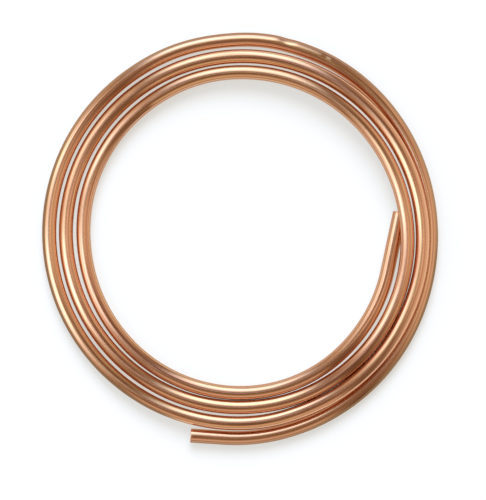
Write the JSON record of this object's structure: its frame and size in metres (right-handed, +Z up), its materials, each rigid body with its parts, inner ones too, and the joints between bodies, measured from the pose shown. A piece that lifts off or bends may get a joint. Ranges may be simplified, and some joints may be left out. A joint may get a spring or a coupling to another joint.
{
  "type": "copper tube coil",
  "caption": "Soft copper tube wound flat in a loose round spiral with an open eye, its turns lying side by side and leaning on its own two plain cut ends, which pass under them.",
  "frame": {"origin": "on the ground under the middle of the coil's bounding box", "axes": "+Z up along the coil's axis, the coil lies on the ground; -Y to the side where the outer end is; the tube runs outwards clockwise seen from above"},
  "size_m": [0.2808, 0.2922, 0.0198],
  "materials": {
    "copper": "bright drawn copper with fine lengthwise lines and faint handling marks"
  },
  "bodies": {
    "root": {"copper_tube": "copper"}
  },
  "joints": []
}
